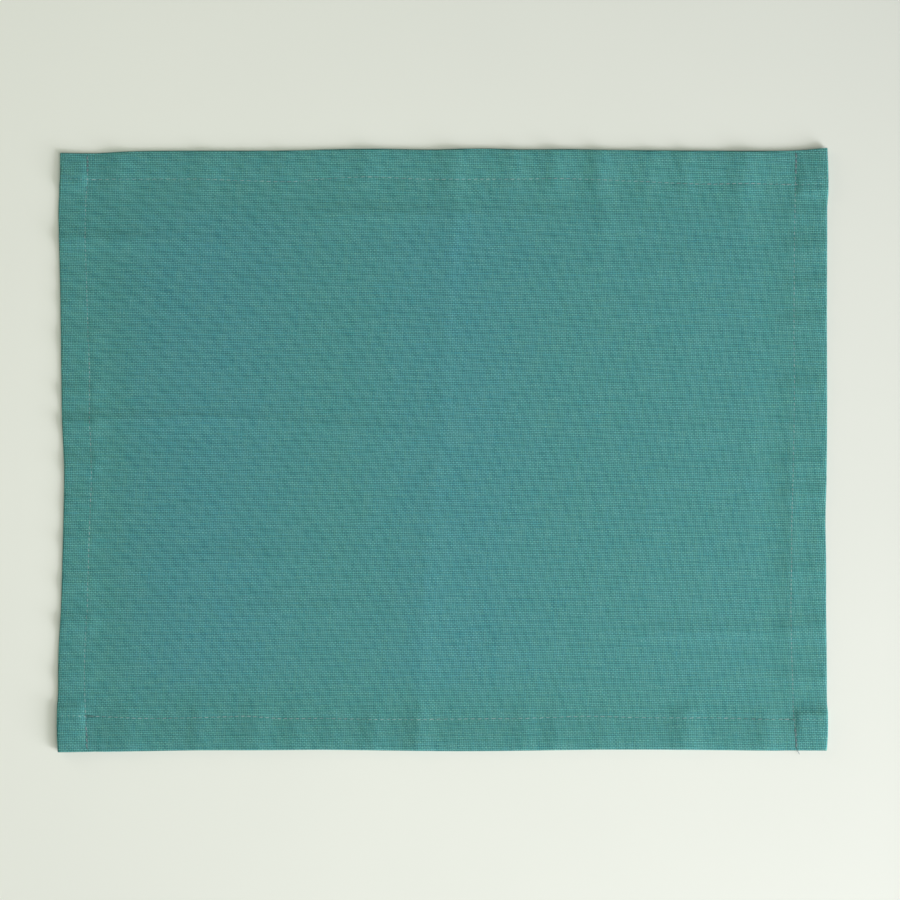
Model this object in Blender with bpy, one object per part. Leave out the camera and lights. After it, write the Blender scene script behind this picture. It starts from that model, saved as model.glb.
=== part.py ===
"""Fabric placemat: one woven cloth, hemmed on all four sides, lying face up on a table.

Metres, +Z up, +X along the mat's length, +Y towards the back of the table. The origin is
under the middle of the mat, on the surface that it lies on.

The cloth is one solid. A fine grid is laid out flat, each of its lines is bent to the edge,
seam or crease that it stands for, and its upper and lower faces get their own heights.
"""

import math
from collections import namedtuple

import bmesh
import bpy
import numpy as np

# Driving dimensions
MAT_LENGTH = 0.450
MAT_WIDTH = 0.352
CLOTH_THICKNESS = 0.0010
PLY = 0.0005  # room that one layer takes in a hem before it is pressed
SEAM_INSET = 0.0185  # from the edge to the line of stitches
FOLD_PAST_SEAM = 0.0020  # the hem's inner fold lies this far inside the stitches
FOLD_STEP = 0.0006  # width of the step that the inner fold makes underneath
SLOPE_LENGTH = 0.0090  # the cloth comes down from the hem to the table in this length
EDGE_ROUNDING = 0.0007  # the turned edge bulges this far past its upper and lower faces
EDGE_DROP = 0.0004  # and its upper face falls this much at the edge
CORNER_ROUNDING = 0.0012
FLAT_ANGLE = math.radians(0.02)  # faces that turn less than this count as one flat face
SHARP_ANGLE = math.radians(40)

# Grid: the widest spaces between its lines, and its lines beside an edge, seam or crease
COLUMN_PITCH = 0.0086
ROW_PITCH = 0.0096
BESIDE_EDGE = (EDGE_ROUNDING, 0.0035, 0.0080, 0.0125, 0.0155)
BESIDE_SEAM = (0.0, FOLD_PAST_SEAM, FOLD_PAST_SEAM + FOLD_STEP, 0.0055, 0.0085, 0.0155)
BESIDE_CREASE = (0.0, 0.0030, 0.0075, 0.0140, 0.0220)

# Where each edge and its seam run: both are distances from the mat's middle
SidePoint = namedtuple("SidePoint", "along edge seam")
LEFT_SIDE = (
    SidePoint(-0.176, 0.2251, 0.2081),
    SidePoint(-0.154, 0.2254, 0.2092),
    SidePoint(-0.118, 0.2249, 0.2094),
    SidePoint(-0.075, 0.2228, 0.2073),
    SidePoint(-0.026, 0.2219, 0.2057),
    SidePoint(0.030, 0.2235, 0.2068),
    SidePoint(0.087, 0.2242, 0.2085),
    SidePoint(0.143, 0.2250, 0.2090),
    SidePoint(0.160, 0.2238, 0.2081),
    SidePoint(0.176, 0.2238, 0.2080),
)
RIGHT_SIDE = (
    SidePoint(-0.176, 0.2245, 0.2074),
    SidePoint(-0.166, 0.2251, 0.2070),
    SidePoint(-0.146, 0.2251, 0.2057),
    SidePoint(-0.083, 0.2246, 0.2044),
    SidePoint(-0.027, 0.2242, 0.2049),
    SidePoint(0.030, 0.2251, 0.2063),
    SidePoint(0.086, 0.2250, 0.2062),
    SidePoint(0.142, 0.2252, 0.2067),
    SidePoint(0.176, 0.2247, 0.2074),
)
BACK_SIDE = (
    SidePoint(-0.225, 0.1740, 0.1584),
    SidePoint(-0.199, 0.1740, 0.1584),
    SidePoint(-0.187, 0.1747, 0.1584),
    SidePoint(-0.145, 0.1753, 0.1585),
    SidePoint(-0.100, 0.1753, 0.1574),
    SidePoint(-0.047, 0.1764, 0.1598),
    SidePoint(-0.019, 0.1760, 0.1585),
    SidePoint(0.018, 0.1766, 0.1585),
    SidePoint(0.066, 0.1762, 0.1589),
    SidePoint(0.150, 0.1754, 0.1556),
    SidePoint(0.196, 0.1753, 0.1557),
    SidePoint(0.214, 0.1761, 0.1552),
    SidePoint(0.225, 0.1771, 0.1555),
)
FRONT_SIDE = (
    SidePoint(-0.225, 0.1769, 0.1559),
    SidePoint(-0.201, 0.1767, 0.1564),
    SidePoint(-0.173, 0.1763, 0.1576),
    SidePoint(-0.103, 0.1758, 0.1565),
    SidePoint(-0.061, 0.1755, 0.1577),
    SidePoint(-0.019, 0.1759, 0.1583),
    SidePoint(0.026, 0.1763, 0.1580),
    SidePoint(0.094, 0.1755, 0.1564),
    SidePoint(0.130, 0.1754, 0.1573),
    SidePoint(0.193, 0.1760, 0.1581),
    SidePoint(0.225, 0.1760, 0.1581),
)

# How tightly each side's hem is pressed, by distance from the edge: its layers take this
# share of their loose room. It is fullest just inside the fold and flattest past the seam.
PressPoint = namedtuple("PressPoint", "along left right back front")
HEM_PRESS = (
    PressPoint(0.0000, 0.88, 0.92, 1.00, 1.00),
    PressPoint(0.0035, 0.92, 0.96, 1.10, 1.12),
    PressPoint(0.0075, 0.84, 0.84, 1.00, 1.00),
    PressPoint(0.0110, 0.77, 0.74, 0.88, 0.83),
    PressPoint(0.0150, 0.66, 0.65, 0.70, 0.66),
    PressPoint(0.0185, 0.54, 0.60, 0.52, 0.50),
    PressPoint(0.0215, 0.45, 0.51, 0.46, 0.48),
    PressPoint(0.0240, 0.45, 0.56, 0.53, 0.54),
    PressPoint(0.0270, 0.72, 0.84, 0.82, 0.82),
    PressPoint(0.0300, 1.00, 1.05, 1.05, 1.05),
    PressPoint(0.0340, 1.00, 1.00, 1.00, 1.00),
)

# The thick pads where a short hem turns the end of a long one. rise is what the long hem
# adds to a pad, in plies, by distance from the long edge. By distance from the short edge,
# pad is the share of that rise, and pinch the share that the long hem keeps beside its seam.
PadPoint = namedtuple("PadPoint", "along rise pad pinch")
CORNER_PAD = (
    PadPoint(0.0000, 0.70, 1.00, 0.55),
    PadPoint(0.0040, 1.30, 1.00, 0.55),
    PadPoint(0.0080, 1.80, 0.98, 0.55),
    PadPoint(0.0120, 2.15, 0.92, 0.55),
    PadPoint(0.0145, 2.30, 0.65, 0.55),
    PadPoint(0.0165, 2.38, 0.25, 0.55),
    PadPoint(0.0185, 2.42, 0.02, 0.55),
    PadPoint(0.0205, 2.42, 0.00, 0.55),
    PadPoint(0.0222, 2.00, 0.00, 0.60),
    PadPoint(0.0240, 0.80, 0.00, 0.70),
    PadPoint(0.0260, 0.10, 0.00, 0.80),
    PadPoint(0.0290, -0.20, 0.00, 0.95),
    PadPoint(0.0330, -0.35, 0.00, 1.00),
    PadPoint(0.0400, -0.05, 0.00, 1.00),
    PadPoint(0.0460, 0.15, 0.00, 1.00),
    PadPoint(0.0560, 0.00, 0.00, 1.00),
)

# The creases from folding the mat in four, as soft ridges: one runs from front to back and
# one from left to right. low_side and high_side are how wide their slopes are, towards
# smaller and larger x or y.
CreasePoint = namedtuple("CreasePoint", "along across height low_side high_side")
CREASE_ACROSS = (
    CreasePoint(-0.176, -0.0151, 0.0003, 0.012, 0.010),
    CreasePoint(-0.158, -0.0145, 0.0004, 0.014, 0.012),
    CreasePoint(-0.132, -0.0131, 0.0006, 0.040, 0.020),
    CreasePoint(-0.088, -0.0106, 0.0008, 0.045, 0.028),
    CreasePoint(-0.041, -0.0076, 0.0005, 0.026, 0.018),
    CreasePoint(0.006, -0.0020, 0.0003, 0.012, 0.008),
    CreasePoint(0.053, 0.0018, 0.0003, 0.018, 0.006),
    CreasePoint(0.105, 0.0052, 0.0004, 0.020, 0.008),
    CreasePoint(0.140, 0.0072, 0.0009, 0.022, 0.020),
    CreasePoint(0.158, 0.0084, 0.0006, 0.018, 0.018),
    CreasePoint(0.176, 0.0096, 0.0004, 0.012, 0.012),
)
CREASE_ALONG = (
    CreasePoint(-0.225, 0.0154, 0.0005, 0.014, 0.007),
    CreasePoint(-0.110, 0.0172, 0.0004, 0.014, 0.006),
    CreasePoint(-0.051, 0.0131, 0.0005, 0.012, 0.006),
    CreasePoint(0.033, 0.0031, 0.0002, 0.014, 0.008),
    CreasePoint(0.115, -0.0127, 0.0002, 0.010, 0.007),
    CreasePoint(0.180, -0.0145, 0.0003, 0.008, 0.007),
    CreasePoint(0.225, -0.0180, 0.0003, 0.008, 0.007),
)

# The main swells of the cloth, each a soft ridge with faded ends. left and right are how
# wide its slopes are, seen along its length.
Swell = namedtuple("Swell", "x y length turn_deg height left right")
SWELLS = (
    Swell(-0.196, 0.1246, 0.120, 0.0, 0.0011, 0.0080, 0.0130),
    Swell(0.000, 0.1390, 0.360, 0.0, 0.0004, 0.0090, 0.0110),
    Swell(0.094, 0.1400, 0.090, 90.0, 0.0006, 0.0100, 0.0100),
    Swell(0.175, 0.1430, 0.070, 90.0, 0.0005, 0.0110, 0.0110),
    Swell(0.133, 0.1030, 0.210, 1.0, 0.0004, 0.0180, 0.0090),
    Swell(-0.125, -0.0625, 0.190, -2.0, 0.0006, 0.0100, 0.0180),
    Swell(-0.107, -0.0915, 0.230, -2.0, 0.0005, 0.0090, 0.0140),
    Swell(0.151, -0.1066, 0.170, 1.0, 0.0005, 0.0090, 0.0090),
    Swell(0.180, 0.0200, 0.330, 90.0, 0.0003, 0.0140, 0.0100),
    Swell(0.204, -0.0500, 0.220, 90.0, 0.0004, 0.0090, 0.0090),
)

# Corners that curl off the table: signs of x and y, lift of the corner, reach of the curl
Curl = namedtuple("Curl", "x_sign y_sign lift reach")
CURLS = (
    Curl(1, 1, 0.0008, 0.055),
    Curl(-1, -1, 0.0013, 0.075),
)

# Puckers that the stitches gather in the hems' upper face
Pucker = namedtuple("Pucker", "along height half_width")
BACK_PUCKERS = (
    Pucker(-0.190, 0.0008, 0.012),
    Pucker(-0.139, 0.0006, 0.011),
    Pucker(-0.114, 0.0002, 0.006),
    Pucker(-0.094, 0.0004, 0.008),
    Pucker(-0.044, 0.0008, 0.012),
    Pucker(0.004, 0.0007, 0.012),
    Pucker(0.041, 0.0006, 0.009),
    Pucker(0.065, 0.0009, 0.010),
    Pucker(0.091, 0.0009, 0.009),
    Pucker(0.121, 0.0005, 0.008),
    Pucker(0.142, 0.0007, 0.007),
    Pucker(0.177, 0.0010, 0.014),
)
FRONT_PUCKERS = (
    Pucker(-0.185, 0.0006, 0.012),
    Pucker(-0.143, 0.0006, 0.008),
    Pucker(-0.110, 0.0006, 0.012),
    Pucker(-0.086, 0.0004, 0.008),
    Pucker(-0.065, 0.0003, 0.008),
    Pucker(-0.041, 0.0006, 0.010),
    Pucker(-0.014, 0.0006, 0.011),
    Pucker(0.047, 0.0005, 0.009),
    Pucker(0.066, 0.0005, 0.007),
    Pucker(0.095, 0.0004, 0.008),
    Pucker(0.142, 0.0010, 0.012),
    Pucker(0.189, 0.0007, 0.010),
)
LEFT_PUCKERS = (
    Pucker(0.126, 0.0007, 0.010),
    Pucker(0.102, 0.0003, 0.007),
    Pucker(0.088, 0.0005, 0.008),
    Pucker(0.065, 0.0007, 0.011),
    Pucker(0.034, 0.0008, 0.008),
    Pucker(0.015, 0.0007, 0.009),
    Pucker(-0.008, 0.0009, 0.009),
    Pucker(-0.031, 0.0005, 0.010),
    Pucker(-0.053, 0.0008, 0.007),
    Pucker(-0.078, 0.0008, 0.008),
    Pucker(-0.101, 0.0011, 0.008),
    Pucker(-0.132, 0.0007, 0.009),
)
RIGHT_PUCKERS = (
    Pucker(0.139, 0.0006, 0.009),
    Pucker(0.118, 0.0006, 0.010),
    Pucker(0.096, 0.0006, 0.008),
    Pucker(0.075, 0.0006, 0.008),
    Pucker(0.037, 0.0006, 0.010),
    Pucker(0.013, 0.0002, 0.006),
    Pucker(-0.007, 0.0006, 0.009),
    Pucker(-0.025, 0.0006, 0.008),
    Pucker(-0.070, 0.0005, 0.009),
    Pucker(-0.105, 0.0006, 0.011),
    Pucker(-0.134, 0.0005, 0.007),
)

CLOTH_COLOR = (0.075, 0.235, 0.220, 1.0)
CLOTH_ROUGHNESS = 0.9

HALF_LENGTH = MAT_LENGTH / 2
HALF_WIDTH = MAT_WIDTH / 2
# Places counted from an edge run to the hem's inner fold, where the cloth gets thin
HEM_WIDTH = SEAM_INSET + FOLD_PAST_SEAM


def read_curve(table, column, at):
    """The value of one column of a table at a place along it, on a smooth curve."""
    places = np.array([row.along for row in table])
    values = np.array([getattr(row, column) for row in table])
    slopes = np.gradient(values, places)
    i = int(np.clip(np.searchsorted(places, at) - 1, 0, len(places) - 2))
    span = places[i + 1] - places[i]
    t = min(max((at - places[i]) / span, 0.0), 1.0)
    start, end = values[i], values[i + 1]
    bend_in = t * (1 - t) ** 2 * slopes[i] * span
    bend_out = t**2 * (1 - t) * slopes[i + 1] * span
    return start + (end - start) * t**2 * (3 - 2 * t) + bend_in - bend_out


def soft(distance, half_width):
    """1 on a ridge's line, falling to 0 at its half width, with a rounded top."""
    t = min(abs(distance) / half_width, 1.0)
    return (1 - t) ** 2 * (1 + 2 * t)


def roof(distance, half_width):
    """As soft, but with the sharper top of a pressed crease."""
    t = min(abs(distance) / half_width, 1.0)
    return (1 - t) ** 2


def grid_lines(half_size, pitch):
    """Places of the grid's lines on the flat mat, from one edge to the opposite one."""
    seam = half_size - SEAM_INSET
    beside = [half_size - step for step in BESIDE_EDGE]
    beside += [seam - step for step in BESIDE_SEAM]
    outer, inner = beside[-1], BESIDE_CREASE[-1]
    spaces = math.ceil((outer - inner) / pitch)
    even = np.linspace(outer, inner, spaces + 1)[1:-1]
    one_side = beside + list(even) + list(reversed(BESIDE_CREASE))
    return [-place for place in one_side] + one_side[-2::-1]


def bent(place, half_size, low_side, high_side, crease, along):
    """Moves a place on the flat mat to where the real edges, seams and crease run."""
    seam = half_size - SEAM_INSET
    flat = (-half_size, -seam, 0.0, seam, half_size)
    real = (
        -read_curve(low_side, "edge", along),
        -read_curve(low_side, "seam", along),
        read_curve(crease, "across", along),
        read_curve(high_side, "seam", along),
        read_curve(high_side, "edge", along),
    )
    return float(np.interp(place, flat, real))


def hem_share(place, half_size):
    """1 in a hem, falling to 0 where the cloth has come down from it to the table."""
    past_fold = (half_size - HEM_WIDTH) - abs(place)
    return soft(max(past_fold, 0.0), SLOPE_LENGTH)


def hem_height(place, half_size, low_side, high_side):
    """Height of a hem's pressed layers in plies, which is 1 on the single cloth inside it."""
    side = low_side if place < 0 else high_side
    layers = 1 + 2 * hem_share(place, half_size)
    return layers * read_curve(HEM_PRESS, side, half_size - abs(place))


def rise_of_layers(flat_x, flat_y):
    """How far the hems' layers raise the upper face over that of the single cloth."""
    short_height = hem_height(flat_x, HALF_LENGTH, "left", "right")
    long_height = hem_height(flat_y, HALF_WIDTH, "front", "back")
    from_end, from_side = HALF_LENGTH - abs(flat_x), HALF_WIDTH - abs(flat_y)
    pad = read_curve(CORNER_PAD, "pad", from_end)
    pinch = read_curve(CORNER_PAD, "pinch", from_end)
    rise = read_curve(CORNER_PAD, "rise", from_side)
    height = short_height + (1 - pad) * pinch * (long_height - 1) + pad * rise
    return PLY * (height - 1)


def in_hem(place, half_size):
    return abs(place) > half_size - HEM_WIDTH - FOLD_STEP / 2


def swell_lift(x, y):
    lift = 0.0
    for swell in SWELLS:
        turn = math.radians(swell.turn_deg)
        dx, dy = x - swell.x, y - swell.y
        ahead = dx * math.cos(turn) + dy * math.sin(turn)
        aside = dy * math.cos(turn) - dx * math.sin(turn)
        fade = soft(ahead, swell.length / 2)
        width = swell.left if aside > 0 else swell.right
        lift += swell.height * fade * soft(aside, width)
    return lift


def crease_ridge(crease, along, across):
    distance = across - read_curve(crease, "across", along)
    side = "low_side" if distance < 0 else "high_side"
    return read_curve(crease, "height", along) * roof(distance, read_curve(crease, side, along))


def lift_off_table(x, y):
    """How far the whole cloth rises at a place: its creases, swells and curled corners."""
    lift = max(crease_ridge(CREASE_ACROSS, y, x), crease_ridge(CREASE_ALONG, x, y))
    lift += swell_lift(x, y)
    for curl in CURLS:
        dx, dy = x - curl.x_sign * HALF_LENGTH, y - curl.y_sign * HALF_WIDTH
        lift += curl.lift * roof(math.hypot(dx, dy), curl.reach)
    return lift


def pucker_height(puckers, along):
    return sum(p.height * soft(along - p.along, p.half_width) for p in puckers)


def pucker_lift(flat_x, flat_y, x, y):
    """Height that the gathered hems add to the upper face, away from the corners."""
    long_hem = hem_share(flat_y, HALF_WIDTH)
    short_hem = hem_share(flat_x, HALF_LENGTH)
    long_puckers = BACK_PUCKERS if flat_y > 0 else FRONT_PUCKERS
    short_puckers = RIGHT_PUCKERS if flat_x > 0 else LEFT_PUCKERS
    on_long = long_hem * (1 - short_hem) * pucker_height(long_puckers, x)
    on_short = short_hem * (1 - long_hem) * pucker_height(short_puckers, y)
    return on_long + on_short


def faces_at(flat_x, flat_y):
    """(x, y, lower height, upper height) of the cloth at a place on the flat mat."""
    x = bent(flat_x, HALF_LENGTH, LEFT_SIDE, RIGHT_SIDE, CREASE_ACROSS, flat_y)
    y = bent(flat_y, HALF_WIDTH, FRONT_SIDE, BACK_SIDE, CREASE_ALONG, flat_x)
    lift = lift_off_table(x, y)
    upper = CLOTH_THICKNESS + rise_of_layers(flat_x, flat_y)
    hemmed = in_hem(flat_x, HALF_LENGTH) or in_hem(flat_y, HALF_WIDTH)
    lower = 0.0 if hemmed else upper - CLOTH_THICKNESS
    upper += pucker_lift(flat_x, flat_y, x, y)
    return x, y, lower + lift, upper + lift


def outward(flat_place, half_size):
    """1 or -1 on the grid's last lines, the way that edge faces, and 0 elsewhere."""
    on_rim = math.isclose(abs(flat_place), half_size - EDGE_ROUNDING, abs_tol=1e-6)
    return math.copysign(on_rim, flat_place)


def place_vert(vert):
    """Moves a vertex of the flat slab, whose height is its share of the thickness."""
    share = vert.co.z
    out_x = outward(vert.co.x, HALF_LENGTH)
    out_y = outward(vert.co.y, HALF_WIDTH)
    x, y, lower, upper = faces_at(vert.co.x, vert.co.y)
    if out_x or out_y:
        lower += EDGE_DROP
        upper -= EDGE_DROP
    if out_x and out_y:
        x -= out_x * CORNER_ROUNDING
        y -= out_y * CORNER_ROUNDING
    if 0 < share < 1:
        x += out_x * EDGE_ROUNDING
        y += out_y * EDGE_ROUNDING
    vert.co = (x, y, lower + (upper - lower) * share)


def shape_cloth(bm):
    """Builds a flat slab from a grid with the hems' and creases' lines, then drapes it."""
    columns = grid_lines(HALF_LENGTH, COLUMN_PITCH)
    rows = grid_lines(HALF_WIDTH, ROW_PITCH)
    bmesh.ops.create_grid(
        bm, x_segments=len(columns) - 1, y_segments=len(rows) - 1, size=1.0
    )
    for vert in bm.verts:
        column = round((vert.co.x + 1) / 2 * (len(columns) - 1))
        row = round((vert.co.y + 1) / 2 * (len(rows) - 1))
        vert.co = (columns[column], rows[row], 0.0)
    raised = bmesh.ops.extrude_face_region(bm, geom=bm.faces[:], use_keep_orig=True)
    raised_verts = [g for g in raised["geom"] if isinstance(g, bmesh.types.BMVert)]
    bmesh.ops.translate(bm, verts=raised_verts, vec=(0.0, 0.0, 1.0))
    upright = [e for e in bm.edges if e.verts[0].co.z != e.verts[1].co.z]
    bmesh.ops.subdivide_edges(bm, edges=upright, cuts=1)
    for vert in bm.verts:
        place_vert(vert)


def centre_over_origin(bm):
    """Moves the cloth so that its box stands centred over the origin."""
    corners = np.array([vert.co for vert in bm.verts])
    low, high = corners.min(axis=0), corners.max(axis=0)
    shift = (-(low[0] + high[0]) / 2, -(low[1] + high[1]) / 2, -low[2])
    bmesh.ops.translate(bm, verts=bm.verts, vec=shift)


def cloth_material():
    material = bpy.data.materials.new("woven_cotton")
    material.use_nodes = True
    shader = material.node_tree.nodes["Principled BSDF"]
    shader.inputs["Base Color"].default_value = CLOTH_COLOR
    shader.inputs["Roughness"].default_value = CLOTH_ROUGHNESS
    shader.inputs["Metallic"].default_value = 0.0
    return material


def make_cloth(collection):
    bm = bmesh.new()
    shape_cloth(bm)
    centre_over_origin(bm)
    bmesh.ops.dissolve_limit(
        bm, angle_limit=FLAT_ANGLE, verts=bm.verts[:], edges=bm.edges[:]
    )
    bmesh.ops.triangulate(bm, faces=bm.faces[:])
    bmesh.ops.recalc_face_normals(bm, faces=bm.faces[:])
    mesh = bpy.data.meshes.new("hemmed_cloth")
    bm.to_mesh(mesh)
    bm.free()
    mesh.shade_smooth()
    mesh.set_sharp_from_angle(angle=SHARP_ANGLE)
    cloth = bpy.data.objects.new("hemmed_cloth", mesh)
    cloth.data.materials.append(cloth_material())
    collection.objects.link(cloth)
    return cloth


def main():
    for old in list(bpy.data.objects):
        bpy.data.objects.remove(old, do_unlink=True)
    placemat = bpy.data.collections.new("placemat")
    bpy.context.scene.collection.children.link(placemat)
    make_cloth(placemat)


main()
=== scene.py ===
"""A hemmed cotton placemat lying face up on a pale table, seen from straight above.

The cloth is one sheet that keeps its cut: a grid in the flat cloth's own distances is turned
over twice along each edge, first at the long sides and then, over those hems, at the short
ones. So the corners hold nine layers, the weave follows every turn, and the hems' inner
folds show underneath. Metres, +Z up, +X along the mat, +Y towards the back of the table.
"""

import math
import random
from collections import namedtuple

import bmesh
import bpy
import numpy as np
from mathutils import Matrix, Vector


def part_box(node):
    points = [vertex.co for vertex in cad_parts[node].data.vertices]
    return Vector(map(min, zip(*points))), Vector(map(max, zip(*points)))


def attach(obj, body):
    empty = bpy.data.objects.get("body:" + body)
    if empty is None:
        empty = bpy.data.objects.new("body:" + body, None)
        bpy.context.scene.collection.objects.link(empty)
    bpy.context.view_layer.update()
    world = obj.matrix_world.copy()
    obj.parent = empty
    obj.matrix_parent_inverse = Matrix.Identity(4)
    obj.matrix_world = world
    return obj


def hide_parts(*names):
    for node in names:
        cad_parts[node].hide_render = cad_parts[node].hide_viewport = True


MM = 0.001

# The mat, and where its stitches run
MAT_LENGTH = 0.450
MAT_WIDTH = 0.352
PLY = 0.00050  # room that one layer of cloth takes in a hem
CLOTH = 0.00046  # the cloth itself, a little less than that
SEAM_INSET = 0.0185
HEM_WIDTH = 0.0205
TURN_IN = 0.0160  # the raw edge is turned under by this much inside the hem
SLOPE_LENGTH = 0.0090  # the cloth comes down from a hem to the table in this length
CORNER_BULGE = 0.50  # nine pressed layers fold over less roundly than three
SEAM_GROOVE = 0.00014  # the stitches pull the face in by this much
GROOVE_HALF_WIDTH = 0.0015

# The grid's spaces: at the folds and stitches, and the widest ones
FINE_SPACE = 0.0006
CREASE_SPACE = 0.0009
WIDE_SPACE = 0.0026
SPACE_GROWTH = 1.3
HIDDEN_SPACE = 0.0045
OUTER_TURN_STEPS = 6
INNER_TURN_STEPS = 4
NEAR = 0.0001  # step between the points that give the cloth's slope
ROUNDING = 1e-6  # a share of a space that is no more than a rounding error
EDGE_PLACES = 200  # where each edge is measured

HALF_LENGTH = MAT_LENGTH / 2
HALF_WIDTH = MAT_WIDTH / 2
SEAM_X = HALF_LENGTH - SEAM_INSET
SEAM_Y = HALF_WIDTH - SEAM_INSET


def rows_of(kind, *rows):
    """A table of one kind of named row."""
    return [kind(*row) for row in rows]


# Where each edge and its seam run: both are distances from the mat's middle
SidePoint = namedtuple("SidePoint", "along edge seam")
LEFT_SIDE = rows_of(
    SidePoint,
    (-0.176, 0.2250, 0.2085),
    (-0.166, 0.2255, 0.2088),
    (-0.154, 0.2254, 0.2096),
    (-0.124, 0.2251, 0.2100),
    (-0.096, 0.2235, 0.2084),
    (-0.083, 0.2231, 0.2081),
    (-0.055, 0.2223, 0.2071),
    (-0.026, 0.2219, 0.2061),
    (0.002, 0.2231, 0.2072),
    (0.030, 0.2235, 0.2072),
    (0.058, 0.2238, 0.2081),
    (0.087, 0.2242, 0.2089),
    (0.115, 0.2247, 0.2096),
    (0.143, 0.2250, 0.2094),
    (0.157, 0.2239, 0.2085),
    (0.176, 0.2238, 0.2084),
)
RIGHT_SIDE = rows_of(
    SidePoint,
    (-0.176, 0.2245, 0.2073),
    (-0.168, 0.2250, 0.2069),
    (-0.154, 0.2251, 0.2055),
    (-0.139, 0.2250, 0.2052),
    (-0.111, 0.2249, 0.2044),
    (-0.083, 0.2246, 0.2040),
    (-0.055, 0.2246, 0.2043),
    (-0.027, 0.2242, 0.2045),
    (0.001, 0.2248, 0.2052),
    (0.030, 0.2251, 0.2059),
    (0.086, 0.2250, 0.2058),
    (0.142, 0.2252, 0.2063),
    (0.165, 0.2252, 0.2068),
    (0.176, 0.2247, 0.2070),
)
BACK_SIDE = rows_of(
    SidePoint,
    (-0.225, 0.1740, 0.1588),
    (-0.199, 0.1740, 0.1587),
    (-0.187, 0.1747, 0.1588),
    (-0.145, 0.1753, 0.1589),
    (-0.117, 0.1753, 0.1580),
    (-0.089, 0.1756, 0.1576),
    (-0.075, 0.1760, 0.1590),
    (-0.047, 0.1764, 0.1602),
    (-0.019, 0.1760, 0.1589),
    (0.018, 0.1766, 0.1589),
    (0.036, 0.1761, 0.1589),
    (0.066, 0.1762, 0.1593),
    (0.094, 0.1758, 0.1583),
    (0.122, 0.1756, 0.1571),
    (0.150, 0.1754, 0.1560),
    (0.178, 0.1753, 0.1563),
    (0.196, 0.1753, 0.1559),
    (0.214, 0.1761, 0.1556),
    (0.225, 0.1771, 0.1559),
)
FRONT_SIDE = rows_of(
    SidePoint,
    (-0.225, 0.1769, 0.1553),
    (-0.201, 0.1767, 0.1560),
    (-0.173, 0.1763, 0.1572),
    (-0.131, 0.1758, 0.1567),
    (-0.103, 0.1758, 0.1561),
    (-0.089, 0.1757, 0.1572),
    (-0.061, 0.1755, 0.1573),
    (-0.019, 0.1759, 0.1579),
    (0.026, 0.1763, 0.1576),
    (0.066, 0.1759, 0.1570),
    (0.094, 0.1755, 0.1560),
    (0.122, 0.1754, 0.1568),
    (0.164, 0.1757, 0.1570),
    (0.193, 0.1760, 0.1577),
    (0.225, 0.1760, 0.1577),
)

# How tightly each side's hem is pressed, by distance from the edge: its layers take this
# share of their loose room. It is fullest just inside the fold and flattest past the seam.
PressPoint = namedtuple("PressPoint", "along left right back front")
HEM_PRESS = rows_of(
    PressPoint,
    (0.0000, 0.88, 0.92, 1.00, 1.00),
    (0.0035, 0.92, 0.96, 1.10, 1.12),
    (0.0075, 0.84, 0.84, 1.00, 1.00),
    (0.0110, 0.77, 0.74, 0.88, 0.83),
    (0.0150, 0.66, 0.65, 0.70, 0.66),
    (0.0185, 0.54, 0.60, 0.52, 0.50),
    (0.0215, 0.45, 0.51, 0.46, 0.48),
    (0.0240, 0.45, 0.56, 0.53, 0.54),
    (0.0270, 0.72, 0.84, 0.82, 0.82),
    (0.0300, 1.00, 1.05, 1.05, 1.05),
    (0.0340, 1.00, 1.00, 1.00, 1.00),
)

# The thick pads where a short hem turns the end of a long one. rise is what the long hem
# adds to a pad, in plies, by distance from the long edge. By distance from the short edge,
# pad is the share of that rise, and pinch the share that the long hem keeps beside its seam.
PadPoint = namedtuple("PadPoint", "along rise pad pinch")
CORNER_PAD = rows_of(
    PadPoint,
    (0.0000, 0.70, 1.00, 0.55),
    (0.0040, 1.30, 1.00, 0.55),
    (0.0080, 1.80, 0.98, 0.55),
    (0.0120, 2.15, 1.00, 0.55),
    (0.0145, 2.30, 0.92, 0.55),
    (0.0160, 2.38, 0.68, 0.55),
    (0.0172, 2.41, 0.32, 0.55),
    (0.0185, 2.43, 0.02, 0.55),
    (0.0205, 2.44, 0.00, 0.55),
    (0.0222, 2.35, 0.00, 0.60),
    (0.0236, 1.60, 0.00, 0.68),
    (0.0248, 0.60, 0.00, 0.75),
    (0.0262, 0.05, 0.00, 0.80),
    (0.0290, -0.20, 0.00, 0.95),
    (0.0330, -0.35, 0.00, 1.00),
    (0.0400, -0.05, 0.00, 1.00),
    (0.0460, 0.15, 0.00, 1.00),
    (0.0560, 0.00, 0.00, 1.00),
)

# The creases from folding the mat in four, as soft ridges: one runs from front to back and
# one from left to right. low_side and high_side are how wide their slopes are, towards
# smaller and larger x or y.
CreasePoint = namedtuple("CreasePoint", "along across height low_side high_side")
CREASE_ACROSS = rows_of(
    CreasePoint,
    (-0.176, -0.0151, 0.0003, 0.012, 0.010),
    (-0.158, -0.0145, 0.0004, 0.014, 0.012),
    (-0.132, -0.0131, 0.0006, 0.040, 0.020),
    (-0.088, -0.0106, 0.0008, 0.045, 0.028),
    (-0.041, -0.0076, 0.0005, 0.026, 0.018),
    (0.006, -0.0020, 0.0003, 0.012, 0.008),
    (0.053, 0.0018, 0.0003, 0.018, 0.006),
    (0.105, 0.0052, 0.0004, 0.020, 0.008),
    (0.140, 0.0072, 0.0009, 0.022, 0.020),
    (0.158, 0.0084, 0.0006, 0.018, 0.018),
    (0.176, 0.0096, 0.0004, 0.012, 0.012),
)
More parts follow.
